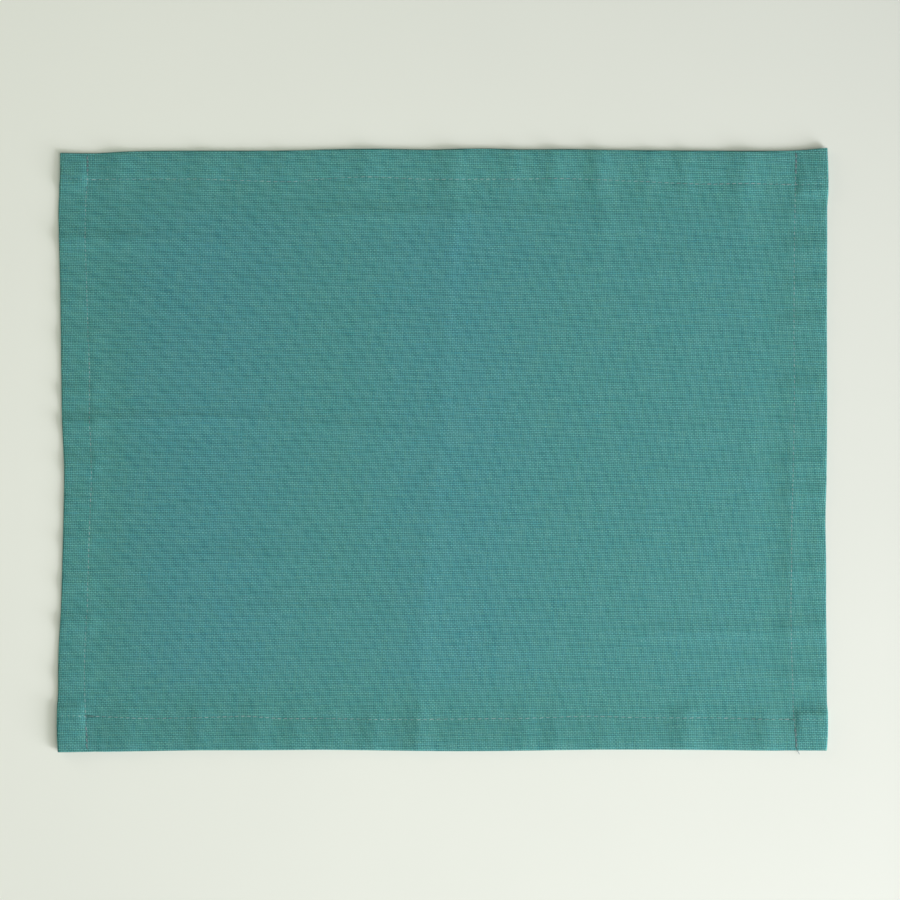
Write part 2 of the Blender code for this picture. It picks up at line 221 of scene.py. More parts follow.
CREASE_ALONG = rows_of(
    CreasePoint,
    (-0.225, 0.0175, 0.0005, 0.014, 0.006),
    (-0.110, 0.0190, 0.0007, 0.014, 0.005),
    (-0.051, 0.0133, 0.0005, 0.012, 0.006),
    (0.033, 0.0031, 0.0002, 0.014, 0.008),
    (0.115, -0.0127, 0.0002, 0.010, 0.007),
    (0.180, -0.0145, 0.0003, 0.008, 0.007),
    (0.225, -0.0180, 0.0003, 0.008, 0.007),
)

# Low swells and wrinkles of the cloth, each a soft ridge with faded ends. left and right
# are how wide its slopes are, seen along its length.
Swell = namedtuple("Swell", "x y length turn_deg height left right")
SWELLS = rows_of(
    Swell,
    (-0.196, 0.1246, 0.120, 0.0, 0.0011, 0.0045, 0.0120),
    (-0.125, 0.1220, 0.110, 0.0, 0.0003, 0.0050, 0.0090),
    (0.040, 0.1390, 0.420, 0.0, 0.0004, 0.0045, 0.0100),
    (-0.043, 0.1390, 0.130, 0.0, 0.0005, 0.0060, 0.0080),
    (-0.024, 0.1146, 0.050, 0.0, 0.0003, 0.0050, 0.0050),
    (0.094, 0.1400, 0.090, 90.0, 0.0006, 0.0090, 0.0090),
    (0.105, 0.1310, 0.110, 0.0, 0.0003, 0.0050, 0.0080),
    (0.175, 0.1430, 0.070, 90.0, 0.0005, 0.0110, 0.0110),
    (0.133, 0.1030, 0.210, 1.0, 0.0004, 0.0180, 0.0050),
    (0.125, 0.0860, 0.160, 1.0, 0.0002, 0.0050, 0.0080),
    (0.193, 0.0600, 0.045, 0.0, 0.0003, 0.0060, 0.0060),
    (0.150, 0.0131, 0.130, 0.0, 0.0003, 0.0060, 0.0080),
    (-0.125, -0.0625, 0.190, -2.0, 0.0006, 0.0080, 0.0180),
    (-0.107, -0.0915, 0.230, -2.0, 0.0005, 0.0050, 0.0140),
    (0.151, -0.1072, 0.170, 1.0, 0.0007, 0.0080, 0.0050),
    (0.040, -0.1160, 0.090, 8.0, 0.0003, 0.0060, 0.0060),
    (-0.202, 0.0300, 0.150, 90.0, 0.0003, 0.0070, 0.0070),
    (-0.044, -0.0470, 0.150, 90.0, 0.0002, 0.0060, 0.0060),
    (0.121, -0.0470, 0.080, 90.0, 0.0003, 0.0120, 0.0100),
    (0.180, 0.0200, 0.330, 90.0, 0.0003, 0.0140, 0.0080),
    (0.204, -0.0500, 0.220, 90.0, 0.0004, 0.0070, 0.0070),
)

# Corners that curl off the table: signs of x and y, lift of the corner, reach of the curl
Curl = namedtuple("Curl", "x_sign y_sign lift reach")
CURLS = (Curl(1, 1, 0.0008, 0.055), Curl(-1, -1, 0.0013, 0.075))

# Puckers that the stitches gather in the hems' face
Pucker = namedtuple("Pucker", "along height half_width")
BACK_PUCKERS = rows_of(
    Pucker,
    (-0.190, 0.0008, 0.012),
    (-0.139, 0.0006, 0.011),
    (-0.114, 0.0002, 0.006),
    (-0.094, 0.0004, 0.008),
    (-0.044, 0.0008, 0.012),
    (0.004, 0.0007, 0.012),
    (0.041, 0.0006, 0.009),
    (0.065, 0.0009, 0.010),
    (0.091, 0.0009, 0.009),
    (0.121, 0.0005, 0.008),
    (0.142, 0.0007, 0.007),
    (0.177, 0.0010, 0.014),
)
FRONT_PUCKERS = rows_of(
    Pucker,
    (-0.185, 0.0006, 0.012),
    (-0.143, 0.0006, 0.008),
    (-0.110, 0.0006, 0.012),
    (-0.086, 0.0004, 0.008),
    (-0.065, 0.0003, 0.008),
    (-0.041, 0.0006, 0.010),
    (-0.014, 0.0006, 0.011),
    (0.047, 0.0005, 0.009),
    (0.066, 0.0005, 0.007),
    (0.095, 0.0004, 0.008),
    (0.142, 0.0010, 0.012),
    (0.189, 0.0007, 0.010),
)
LEFT_PUCKERS = rows_of(
    Pucker,
    (0.126, 0.0007, 0.010),
    (0.102, 0.0003, 0.007),
    (0.088, 0.0005, 0.008),
    (0.065, 0.0007, 0.011),
    (0.034, 0.0008, 0.008),
    (0.015, 0.0007, 0.009),
    (-0.008, 0.0009, 0.009),
    (-0.031, 0.0005, 0.010),
    (-0.053, 0.0008, 0.007),
    (-0.078, 0.0008, 0.008),
    (-0.101, 0.0011, 0.008),
    (-0.132, 0.0007, 0.009),
)
RIGHT_PUCKERS = rows_of(
    Pucker,
    (0.139, 0.0006, 0.009),
    (0.118, 0.0006, 0.010),
    (0.096, 0.0006, 0.008),
    (0.075, 0.0006, 0.008),
    (0.037, 0.0006, 0.010),
    (0.013, 0.0002, 0.006),
    (-0.007, 0.0006, 0.009),
    (-0.025, 0.0006, 0.008),
    (-0.070, 0.0005, 0.009),
    (-0.105, 0.0006, 0.011),
    (-0.134, 0.0005, 0.007),
)

# Sewing: lockstitch, with the needle's thread on the face and the bobbin's under the hems
LONG_HEM_STITCH = 0.00375
SHORT_HEM_STITCH = 0.00295
THREAD_RADIUS = 0.00017
STITCH_SLANT_DEG = 4.0
SLANT_SPREAD = 0.03  # in radians
STITCH_FILL = (0.84, 0.95)  # a stitch covers between these shares of its pitch
RADIUS_SPREAD = (0.9, 1.1)
STITCH_SHIFT = 0.04  # stitches stray by up to this share of their pitch along the seam
STITCH_STRAY = 0.00004  # and by about this much to its sides
STITCH_DIP = 1.7  # how deep its ends go into their holes, in thread radii
NEEDLE_STAND = 0.4  # how far its middle stands off the cloth, also in radii
BOBBIN_STAND = -0.6
BACKSTITCH_START = 0.0012  # from the mat's edge
BACKSTITCH_END = 0.0128
BACKSTITCH_SPREAD = 0.00034  # to either side of the seam
BACKSTITCH_SHIFT = 0.3  # the rows start up to this share of a stitch apart
BACKSTITCH_REACH = 1.15  # they are sewn over each other, so their ends meet
TAIL_INSET = 0.0016  # a cut end leaves the front right corner's stitches this near the edge
TAIL_END = (0.0020, -0.1784)  # to the right of where it starts, and from the mat's middle

# The photograph's frame
VIEW_WIDTH = 0.528
VIEW_CENTRE_X = 0.0043  # to the right of the mat's middle
CAMERA_HEIGHT = 1.30
SENSOR = 0.036

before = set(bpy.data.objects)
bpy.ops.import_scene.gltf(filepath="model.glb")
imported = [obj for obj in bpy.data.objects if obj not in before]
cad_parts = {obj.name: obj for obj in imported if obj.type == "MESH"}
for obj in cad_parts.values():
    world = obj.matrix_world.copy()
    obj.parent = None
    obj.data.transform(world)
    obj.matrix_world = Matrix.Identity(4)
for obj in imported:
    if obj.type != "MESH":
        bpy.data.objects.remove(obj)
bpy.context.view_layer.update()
mat_low, mat_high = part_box("hemmed_cloth")


# --- The cloth's shape ------------------------------------------------------------------


def read_curve(table, column, at):
    """The values of one column of a table at places along it, on a smooth curve."""
    places = np.array([row.along for row in table])
    values = np.array([getattr(row, column) for row in table])
    slopes = np.gradient(values, places)
    i = np.clip(np.searchsorted(places, at) - 1, 0, len(places) - 2)
    span = places[i + 1] - places[i]
    t = np.clip((at - places[i]) / span, 0.0, 1.0)
    start, end = values[i], values[i + 1]
    bend_in = t * (1 - t) ** 2 * slopes[i] * span
    bend_out = t**2 * (1 - t) * slopes[i + 1] * span
    return start + (end - start) * t**2 * (3 - 2 * t) + bend_in - bend_out


def soft(distance, half_width):
    """1 on a ridge's line, falling to 0 at its half width, with a rounded top."""
    t = np.minimum(np.abs(distance) / half_width, 1.0)
    return (1 - t) ** 2 * (1 + 2 * t)


def roof(distance, half_width):
    """As soft, but with the sharper top of a pressed crease."""
    t = np.minimum(np.abs(distance) / half_width, 1.0)
    return (1 - t) ** 2


def bent(place, half_size, low_side, high_side, crease, along):
    """Moves places on the flat mat to where the real edges, seams and crease run."""
    seam = half_size - SEAM_INSET
    low_edge = -read_curve(low_side, "edge", along)
    low_seam = -read_curve(low_side, "seam", along)
    middle = read_curve(crease, "across", along)
    high_seam = read_curve(high_side, "seam", along)
    high_edge = read_curve(high_side, "edge", along)
    low_hem = low_edge + (low_seam - low_edge) * (place + half_size) / SEAM_INSET
    low_panel = low_seam + (middle - low_seam) * (place + seam) / seam
    high_panel = middle + (high_seam - middle) * place / seam
    high_hem = high_seam + (high_edge - high_seam) * (place - seam) / SEAM_INSET
    return np.select(
        (place < -seam, place < 0, place < seam),
        (low_hem, low_panel, high_panel),
        high_hem,
    )


def layers_at(place, half_size):
    """How many layers lie here: 3 in a hem, easing down to 1 on the panel inside it."""
    past_fold = np.maximum(half_size - HEM_WIDTH - np.abs(place), 0.0)
    return 1 + 2 * soft(past_fold, SLOPE_LENGTH)


class Turning:
    """One direction's path over the cloth, from its middle out and round the two turns.

    A run is a distance over the cut cloth, counted from the crease. Its flat place is
    where that lies on the mat, and its turn goes from 0 on the face to 1 on the layer
    underneath, and on to 2 on the layer that is turned in between them.
    """

    def __init__(self, half_size):
        self.half_size = half_size
        self.face = half_size - PLY
        self.outer_turn = math.pi * PLY
        self.under = HEM_WIDTH - PLY
        self.inner_turn = math.pi * PLY / 2
        self.run_under = self.face + self.outer_turn
        self.run_inner = self.run_under + self.under
        self.run_in = self.run_inner + self.inner_turn
        self.half_cut = self.run_in + TURN_IN

    def flat_place(self, run):
        out = np.abs(run)
        inner = self.face - self.under
        place = np.select(
            (out < self.face, out < self.run_under, out < self.run_inner, out < self.run_in),
            (out, self.face, self.face - (out - self.run_under), inner),
            inner + (out - self.run_in),
        )
        return np.copysign(place, run)

    def turn(self, run):
        out = np.abs(run)
        first = np.clip((out - self.face) / self.outer_turn, 0.0, 1.0)
        second = np.clip((out - self.run_inner) / self.inner_turn, 0.0, 1.0)
        return first + second

    def under_run(self, place):
        """The run on the layer underneath, below a flat place in the hem."""
        return self.run_under + (self.face - place)

    def stations(self):
        """Runs of the grid's lines, close together at folds and stitches."""
        seam = self.half_size - SEAM_INSET
        one_side = graded(0.0, seam, CREASE_SPACE, FINE_SPACE, WIDE_SPACE)
        one_side += graded(seam, self.face, FINE_SPACE, FINE_SPACE, WIDE_SPACE)[1:]
        spans = (
            (self.face, self.outer_turn / OUTER_TURN_STEPS, self.run_under),
            (self.run_under, HIDDEN_SPACE, self.run_inner),
            (self.run_inner, self.inner_turn / INNER_TURN_STEPS, self.run_in),
            (self.run_in, HIDDEN_SPACE, self.half_cut),
        )
        for start, space, stop in spans:
            steps = math.ceil((stop - start) / space - ROUNDING)
            one_side += list(np.linspace(start, stop, steps + 1))[1:]
        return [-run for run in reversed(one_side[1:])] + one_side


def graded(start, stop, start_space, stop_space, widest):
    """Places from start to stop whose spaces grow from both ends up to the widest."""
    low, high = [start], [stop]
    low_space, high_space = start_space, stop_space
    while high[-1] - low[-1] > low_space + high_space:
        if low_space <= high_space:
            low.append(low[-1] + low_space)
            low_space = min(low_space * SPACE_GROWTH, widest)
        else:
            high.append(high[-1] - high_space)
            high_space = min(high_space * SPACE_GROWTH, widest)
    return low + high[::-1]


LENGTHWISE = Turning(HALF_LENGTH)
CROSSWISE = Turning(HALF_WIDTH)
SEAM_END = CROSSWISE.face - BACKSTITCH_START  # the short seams run as far out as this


def pressed(place, half_size, low_side, high_side):
    """The share of their loose room that the layers of one pair of hems take."""
    inward = half_size - np.abs(place)
    low_share = read_curve(HEM_PRESS, low_side, inward)
    return np.where(place < 0, low_share, read_curve(HEM_PRESS, high_side, inward))


def squeeze(flat_x, flat_y):
    """The share of their loose room that all the layers at a place take."""
    across, along = layers_at(flat_x, HALF_LENGTH), layers_at(flat_y, HALF_WIDTH)
    short_height = across * pressed(flat_x, HALF_LENGTH, "left", "right")
    long_height = along * pressed(flat_y, HALF_WIDTH, "front", "back")
    from_end, from_side = HALF_LENGTH - np.abs(flat_x), HALF_WIDTH - np.abs(flat_y)
    pad = read_curve(CORNER_PAD, "pad", from_end)
    pinch = read_curve(CORNER_PAD, "pinch", from_end)
    rise = read_curve(CORNER_PAD, "rise", from_side)
    height = short_height + (1 - pad) * pinch * (long_height - 1) + pad * rise
    return height / (across * along)


def stacked(turn, layers, stack, depth):
    """(height, bulge outwards) of a layer at a depth in a stack that is turned twice."""
    on_face = layers * stack - depth
    angle = np.pi * (turn % 1.0)
    outer = 1.5 * stack - depth
    inner = stack - depth
    height = np.select(
        (turn <= 0, turn < 1, turn == 1, turn < 2),
        (
            on_face,
            1.5 * stack + outer * np.cos(angle),
            depth,
            stack - inner * np.cos(angle),
        ),
        2 * stack - depth,
    )
    bulge = np.select(
        (turn <= 0, turn < 1, turn == 1, turn < 2),
        (0.0, outer * np.sin(angle), 0.0, -inner * np.sin(angle)),
        0.0,
    )
    return height, bulge


def swell_lift(x, y):
    lift = 0.0
    for swell in SWELLS:
        turn = math.radians(swell.turn_deg)
        dx, dy = x - swell.x, y - swell.y
        ahead = dx * math.cos(turn) + dy * math.sin(turn)
        aside = dy * math.cos(turn) - dx * math.sin(turn)
        fade = soft(ahead, swell.length / 2)
        width = np.where(aside > 0, swell.left, swell.right)
        lift = lift + swell.height * fade * soft(aside, width)
    return lift


def crease_ridge(crease, along, across):
    distance = across - read_curve(crease, "across", along)
    low_side = read_curve(crease, "low_side", along)
    high_side = read_curve(crease, "high_side", along)
    width = np.where(distance < 0, low_side, high_side)
    return read_curve(crease, "height", along) * roof(distance, width)


def lift_off_table(x, y):
    """How far the whole cloth rises at a place: its creases, swells and curled corners."""
    lift = np.maximum(crease_ridge(CREASE_ACROSS, y, x), crease_ridge(CREASE_ALONG, x, y))
    lift = lift + swell_lift(x, y)
    for curl in CURLS:
        dx, dy = x - curl.x_sign * HALF_LENGTH, y - curl.y_sign * HALF_WIDTH
        lift = lift + curl.lift * roof(np.hypot(dx, dy), curl.reach)
    return lift


def pucker_height(puckers, along):
    return sum(p.height * soft(along - p.along, p.half_width) for p in puckers)


def face_relief(flat_x, flat_y, x, y):
    """Height that the sewing adds to the mat's face: gathered and drawn in."""
    long_hem = (layers_at(flat_y, HALF_WIDTH) - 1) / 2
    short_hem = (layers_at(flat_x, HALF_LENGTH) - 1) / 2
    long_puckers = np.where(
        flat_y > 0, pucker_height(BACK_PUCKERS, x), pucker_height(FRONT_PUCKERS, x)
    )
    short_puckers = np.where(
        flat_x > 0, pucker_height(RIGHT_PUCKERS, y), pucker_height(LEFT_PUCKERS, y)
    )
    gathered = (
        long_hem * (1 - short_hem) * long_puckers
        + short_hem * (1 - long_hem) * short_puckers
    )
    groove = np.maximum(
        soft(np.abs(flat_x) - SEAM_X, GROOVE_HALF_WIDTH),
        soft(np.abs(flat_y) - SEAM_Y, GROOVE_HALF_WIDTH),
    )
    return gathered - SEAM_GROOVE * groove


def cloth_points(run_x, run_y):
    """Where points of the cut cloth lie on the made mat, as an array of x, y and z."""
    flat_x, flat_y = LENGTHWISE.flat_place(run_x), CROSSWISE.flat_place(run_y)
    turn_x, turn_y = LENGTHWISE.turn(run_x), CROSSWISE.turn(run_y)
    x = bent(flat_x, HALF_LENGTH, LEFT_SIDE, RIGHT_SIDE, CREASE_ACROSS, flat_y)
    y = bent(flat_y, HALF_WIDTH, FRONT_SIDE, BACK_SIDE, CREASE_ALONG, flat_x)
    # The long hems are turned first, so their layers make the stack that the ends turn
    long_layers = layers_at(flat_y, HALF_WIDTH)
    height, bulge_y = stacked(turn_y, long_layers, PLY, PLY / 2)
    stack = long_layers * PLY
    short_layers = layers_at(flat_x, HALF_LENGTH)
    z, bulge_x = stacked(turn_x, short_layers, stack, stack - height)
    z = z * squeeze(flat_x, flat_y)
    bulge_x = bulge_x * (1 - (1 - CORNER_BULGE) * (long_layers - 1) / 2)
    x_out, y_out = x + np.copysign(bulge_x, run_x), y + np.copysign(bulge_y, run_y)
    is_face = (turn_x <= 0) & (turn_y <= 0)
    z = z + lift_off_table(x, y) + is_face * face_relief(flat_x, flat_y, x, y)
    return np.stack([x_out, y_out, z], axis=-1)


def cloth_share(run_x, run_y):
    """What the cloth keeps of its thickness where its layers are pressed together."""
    flat_x, flat_y = LENGTHWISE.flat_place(run_x), CROSSWISE.flat_place(run_y)
    return np.minimum(squeeze(flat_x, flat_y), 1.0)


def yarn_places(run_x, run_y):
    """Where points of the cloth lay before it was hemmed, in real distances."""
    face_x = np.clip(run_x, -LENGTHWISE.face, LENGTHWISE.face)
    face_y = np.clip(run_y, -CROSSWISE.face, CROSSWISE.face)
    x = bent(face_x, HALF_LENGTH, LEFT_SIDE, RIGHT_SIDE, CREASE_ACROSS, face_y)
    y = bent(face_y, HALF_WIDTH, FRONT_SIDE, BACK_SIDE, CREASE_ALONG, face_x)
    return x + run_x - face_x, y + run_y - face_y


def right_side(run_x, run_y, lift):
    """Places at a height over the side of the cloth that is the mat's face."""
    here = cloth_points(run_x, run_y)
    ahead = cloth_points(run_x + NEAR, run_y) - cloth_points(run_x - NEAR, run_y)
    aside = cloth_points(run_x, run_y + NEAR) - cloth_points(run_x, run_y - NEAR)
    out = np.cross(ahead, aside)
    out /= np.linalg.norm(out, axis=-1, keepdims=True)
    half_cloth = CLOTH / 2 * cloth_share(run_x, run_y)
    return here + out * (half_cloth + lift)[..., None]


def mat_shift():
    """What moves the mat as written here onto its place in the frame."""
    edge_x = np.array([LENGTHWISE.face + LENGTHWISE.outer_turn / 2])
    rows = np.linspace(-HALF_WIDTH, HALF_WIDTH, EDGE_PLACES)
    columns = np.linspace(-HALF_LENGTH, HALF_LENGTH, EDGE_PLACES)
    edge_y = CROSSWISE.face + CROSSWISE.outer_turn / 2
    right = cloth_points(np.full_like(rows, edge_x), rows)[:, 0].max()
    left = cloth_points(np.full_like(rows, -edge_x), rows)[:, 0].min()
    back = cloth_points(columns, np.full_like(columns, edge_y))[:, 1].max()
    front = cloth_points(columns, np.full_like(columns, -edge_y))[:, 1].min()
    middle = (mat_low + mat_high) / 2
    thread_under = (1 + BOBBIN_STAND) * THREAD_RADIUS
    return Vector(
        (middle.x - (left + right) / 2, middle.y - (front + back) / 2, mat_low.z + thread_under)
    )


SHIFT = mat_shift()


def finished_piece(name, bm, material):
    """Makes a mesh object of a bmesh, moved onto the frame's place for the mat."""
    bmesh.ops.translate(bm, verts=bm.verts, vec=SHIFT)
    mesh = bpy.data.meshes.new(name)
    bm.to_mesh(mesh)
    bm.free()
    mesh.shade_smooth()
    mesh.materials.append(material)
    piece = bpy.data.objects.new(name, mesh)
    bpy.context.scene.collection.objects.link(piece)
    return piece


def make_cloth(material):
    runs_x, runs_y = LENGTHWISE.stations(), CROSSWISE.stations()
    bm = bmesh.new()
    bmesh.ops.create_grid(bm, x_segments=len(runs_x) - 1, y_segments=len(runs_y) - 1, size=1.0)
    column = [round((v.co.x + 1) / 2 * (len(runs_x) - 1)) for v in bm.verts]
    row = [round((v.co.y + 1) / 2 * (len(runs_y) - 1)) for v in bm.verts]
    run_x, run_y = np.array(runs_x)[column], np.array(runs_y)[row]
    for vert, place in zip(bm.verts, cloth_points(run_x, run_y)):
        vert.co = place
    cut = bm.loops.layers.uv.new("cut_cloth")
    cut_uv = np.stack(
        [
            run_x / (2 * LENGTHWISE.half_cut) + 0.5,
            run_y / (2 * CROSSWISE.half_cut) + 0.5,
        ],
        axis=-1,
    )
    yarns = bm.loops.layers.uv.new("yarn_places")
    yarn_uv = np.stack(yarn_places(run_x, run_y), axis=-1)
    for face in bm.faces:
        for loop in face.loops:
            loop[cut].uv = cut_uv[loop.vert.index]
            loop[yarns].uv = yarn_uv[loop.vert.index]
    cloth = finished_piece("woven_cloth", bm, material)
    pressed_group = cloth.vertex_groups.new(name="thickness_kept")
    for index, share in enumerate(cloth_share(run_x, run_y)):
        pressed_group.add([index], float(share), "REPLACE")
    body = cloth.modifiers.new("cloth_thickness", "SOLIDIFY")
    body.thickness = CLOTH
    body.offset = 0.0
    body.vertex_group = pressed_group.name
    return cloth


# --- Sewing -----------------------------------------------------------------------------

Stitch = namedtuple("Stitch", "run_x run_y turn half_length radius")
FACE_ORDER = Vector((1.0, 3.0, 20.0))  # no two faces of a ball lie alike along this


def stitch_blank():
    """The ball that each stitch is stretched from, with few faces."""
    bm = bmesh.new()
    bm.loops.layers.uv.new("along_thread")
    bmesh.ops.create_uvsphere(bm, u_segments=8, v_segments=7, radius=1.0, calc_uvs=True)
    # The operator lists the faces in any order, and each run should give the same mesh
    bm.faces.sort(key=lambda face: face.calc_center_median().dot(FACE_ORDER))
    mesh = bpy.data.meshes.new("stitch_blank")
    bm.to_mesh(mesh)
    bm.free()
    return mesh


def stitch_centres(start, stop, pitch):
    count = round((stop - start) / pitch)
    return start + (np.arange(count) + 0.5) * (stop - start) / count


def seam(dice, centres, across, along_y, pitch, reach=1.0):
    """A row of stitches, as evenly set as a machine does it."""
    slant = math.radians(STITCH_SLANT_DEG)
    row = []
    for centre in centres:
        turn = dice.gauss(slant, SLANT_SPREAD) + (math.pi / 2 if along_y else 0.0)
        half_length = reach * pitch / 2 * dice.uniform(*STITCH_FILL)
        radius = THREAD_RADIUS * dice.uniform(*RADIUS_SPREAD)
        centre = centre + dice.uniform(-STITCH_SHIFT, STITCH_SHIFT) * pitch
        aside = across + dice.gauss(0.0, STITCH_STRAY)
        run_x, run_y = (aside, centre) if along_y else (centre, aside)
        row.append(Stitch(run_x, run_y, turn, half_length, radius))
    return row


def thread_on(name, stitches, stand, material):
    """Lays stitches on the cloth, bending each over it so that its ends dip in."""
    blank = stitch_blank()
    ball = np.array([vert.co for vert in blank.vertices])
    bm = bmesh.new()
    for _ in stitches:
        bm.from_mesh(blank)
    run_x, run_y, turn, half_length, radius = np.array(stitches).T[:, :, None]
    run = ball[:, 2]
    fuller = np.sqrt(1 + run**2)  # than a ball, towards the ends
    ahead = run * half_length
    beside = ball[:, 0] * fuller * radius
    # The long seams' ends lie on the short hems' layers, pressed in as the bobbin's thread is
    in_short_hem = np.abs(run_x) > SEAM_X + MM
    stand = np.where(in_short_hem, BOBBIN_STAND, stand)
    lift = (ball[:, 1] * fuller + stand - STITCH_DIP * run**2) * radius
    places = right_side(
        run_x + ahead * np.cos(turn) - beside * np.sin(turn),
        run_y + ahead * np.sin(turn) + beside * np.cos(turn),
        lift,
    )
    for vert, place in zip(bm.verts, places.reshape(-1, 3)):
        vert.co = place
    return finished_piece(name, bm, material)


def four_seams(dice, across_x, across_y, long_end):
    """The stitches of all four seams. The long ones run as far out as long_end."""
    long_centres = stitch_centres(-long_end, long_end, LONG_HEM_STITCH)
    short_centres = stitch_centres(-SEAM_END, SEAM_END, SHORT_HEM_STITCH)
    stitches = []
    for sign in (-1, 1):
        stitches += seam(dice, long_centres, sign * across_y, False, LONG_HEM_STITCH)
        stitches += seam(dice, short_centres, sign * across_x, True, SHORT_HEM_STITCH)
    return stitches


def make_needle_thread(material):
    """The stitches on the mat's face.

    The long seams are older than the short hems, and are turned under with the cloth.
    """
    stitches = four_seams(random.Random(7), SEAM_X, SEAM_Y, LENGTHWISE.run_inner)
    return thread_on("needle_thread", stitches, NEEDLE_STAND, material)


def make_backstitches(material):
    """The ends of the short seams, sewn forth and back on the mat's face."""
    dice = random.Random(5)
    back_start = CROSSWISE.face - BACKSTITCH_END
    back_centres = stitch_centres(back_start, SEAM_END, SHORT_HEM_STITCH)
    stitches = []
    for sign in (-1, 1):
        for end in (-1, 1):
            for aside in (-BACKSTITCH_SPREAD, BACKSTITCH_SPREAD):
                shift = dice.uniform(-BACKSTITCH_SHIFT, BACKSTITCH_SHIFT)
                centres = end * back_centres + shift * SHORT_HEM_STITCH
                across = sign * SEAM_X + aside
                stitches += seam(dice, centres, across, True, SHORT_HEM_STITCH, BACKSTITCH_REACH)
    return thread_on("backstitches", stitches, NEEDLE_STAND, material)


def make_thread_tail(material):
    """The cut end of the last seam, which hangs over the front edge onto the table."""
    bm = bmesh.new()
    bm.from_mesh(stitch_blank())
    ball = np.array([vert.co for vert in bm.verts])
    run_x = np.array([SEAM_X])
    run_y = np.array([TAIL_INSET - CROSSWISE.face])
    start = right_side(run_x, run_y, np.zeros(1))[0]
    end = np.array([start[0] + TAIL_END[0], TAIL_END[1], THREAD_RADIUS])
    over_edge = np.array([(start[0] + end[0]) / 2, end[1] + MM, start[2] + THREAD_RADIUS])
    along = (ball[:, 2:] + 1) / 2
    middle = (1 - along) ** 2 * start + 2 * along * (1 - along) * over_edge + along**2 * end
    thickness = THREAD_RADIUS * np.sqrt(1 + ball[:, 2] ** 2)
    middle[:, 0] += ball[:, 0] * thickness
    middle[:, 2] += ball[:, 1] * thickness
    for vert, place in zip(bm.verts, middle):
        vert.co = place
    bmesh.ops.recalc_face_normals(bm, faces=bm.faces)
    return finished_piece("thread_tail", bm, material)


def make_bobbin_thread(material):
    """The stitches on the underside, along the hems' inner folds."""
    under_x, under_y = LENGTHWISE.under_run(SEAM_X), CROSSWISE.under_run(SEAM_Y)
    stitches = four_seams(random.Random(11), under_x, under_y, HALF_LENGTH - HEM_WIDTH)
    return thread_on("bobbin_thread", stitches, BOBBIN_STAND, material)


# --- Materials --------------------------------------------------------------------------


def linear(hex_code):
    """An sRGB hex colour as the linear red, green, blue and alpha that shaders take."""
    parts = [int(hex_code[i : i + 2], 16) / 255 for i in (1, 3, 5)]
    bright = [c / 12.92 if c <= 0.04045 else ((c + 0.055) / 1.055) ** 2.4 for c in parts]
    return bright + [1.0]


def add_node(tree, kind, inputs, **settings):
    """Adds a node with its settings and its inputs, given as values or as nodes to link.

    Inputs are named, or numbered among the sockets that the settings leave in use.
    """
    made = tree.nodes.new(kind)
    for name, value in settings.items():
        setattr(made, name, value)
    in_use = [socket for socket in made.inputs if socket.enabled]
    for key, value in inputs.items():
        socket = in_use[key] if isinstance(key, int) else made.inputs[key]
        if isinstance(value, bpy.types.Node):
            value = next(output for output in value.outputs if output.enabled)
        if isinstance(value, bpy.types.NodeSocket):
            tree.links.new(value, socket)
        else:
            socket.default_value = value
    return made


def new_material(name):
    material = bpy.data.materials.new(name)
    material.use_nodes = True
    return material, material.node_tree, material.node_tree.nodes["Principled BSDF"]


# Plain weave: yarn spacings, and how far the warp leans from square to the weft
WARP_PITCH = 1.10 * MM
WEFT_PITCH = 1.056 * MM
WARP_LEAN = math.tan(math.radians(4.0))
YARN_WANDER = 25 * MM  # yarns stray from straight over about this length
YARN_STRAY = 0.5  # by up to this much of their spacing
WEFT_SLUB = 12 * MM  # lengths of the thick and thin places of the yarns
WARP_SLUB = 20 * MM
CROWDING = 0.4  # neighbours crowd together and part by up to this, in yarns
CROWD_YARNS = 1.6  # and do so over about this many
CROWN = 0.35  # how far a yarn rises where it goes over another, as a share of its height
WARP_HEIGHT = 0.84  # the tighter warp lies lower in the cloth than the weft does
YARN_HEIGHT = 0.20 * MM
WEFT_DARK, WEFT_LIGHT = "#39919c", "#7bb9bb"
WARP_DARK, WARP_LIGHT = "#3c909a", "#6eaeb2"
YARN_GREEN, YARN_BLUE = "#ffffe9", "#f1fbff"  # some yarns took the dye a little differently
GAP_PAINTED_SHADE = "#06404a"  # painted shade between the yarns, dark and saturated where light has met dyed fibres many times
SLUB_RANGE = (-0.05, 1.05)  # of the noise, from the thinnest yarns to the thickest
HUE_RANGE = (0.1, 0.9)  # and from the greenest to the bluest
YARN_ROW_STEP = 3.73  # neighbouring yarns read noise this far apart, so each has its own slubs
CROSSING_BLEND = 0.15  # how softly the warp's colour gives way to the weft's
DEPTH_RANGE = (0.1, 1.2)  # heights in the weave, in yarns, from the gaps' painted shade to the yarns' colour
# The dye is a little greener at the hems, and bluer along two wide bands of the warp
Band = namedtuple("Band", "x half_width")
BLUE_BANDS = (Band(-0.138, 0.080), Band(0.008, 0.075))
BLUE_BETWEEN = 0.35  # how blue the cloth is beside the bands
HEM_FADE = 0.035  # the green fades out over this length inside the hems
TINT_GREEN, TINT_BLUE = "#fbfff5", "#fbffff"
# The loom's faint bars, where every few yarns one is darker and one lighter than the rest.
# aside and along are how many there are to a metre across the yarns and along them, and the
# others how the first of these changes over a metre.
Bars = namedtuple("Bars", "aside along aside_by_aside aside_by_along")
WARP_BARS = Bars(139.0, 87.0, 196.0, -111.0)
WEFT_BARS = Bars(266.0, 14.0, -240.0, 88.0)
BAR_SHADE = 0.085  # how much darker or lighter they are, at most
BAR_FULL, BAR_GONE = 0.25, 0.75  # on yarns as thin as the first, and as thick as the second


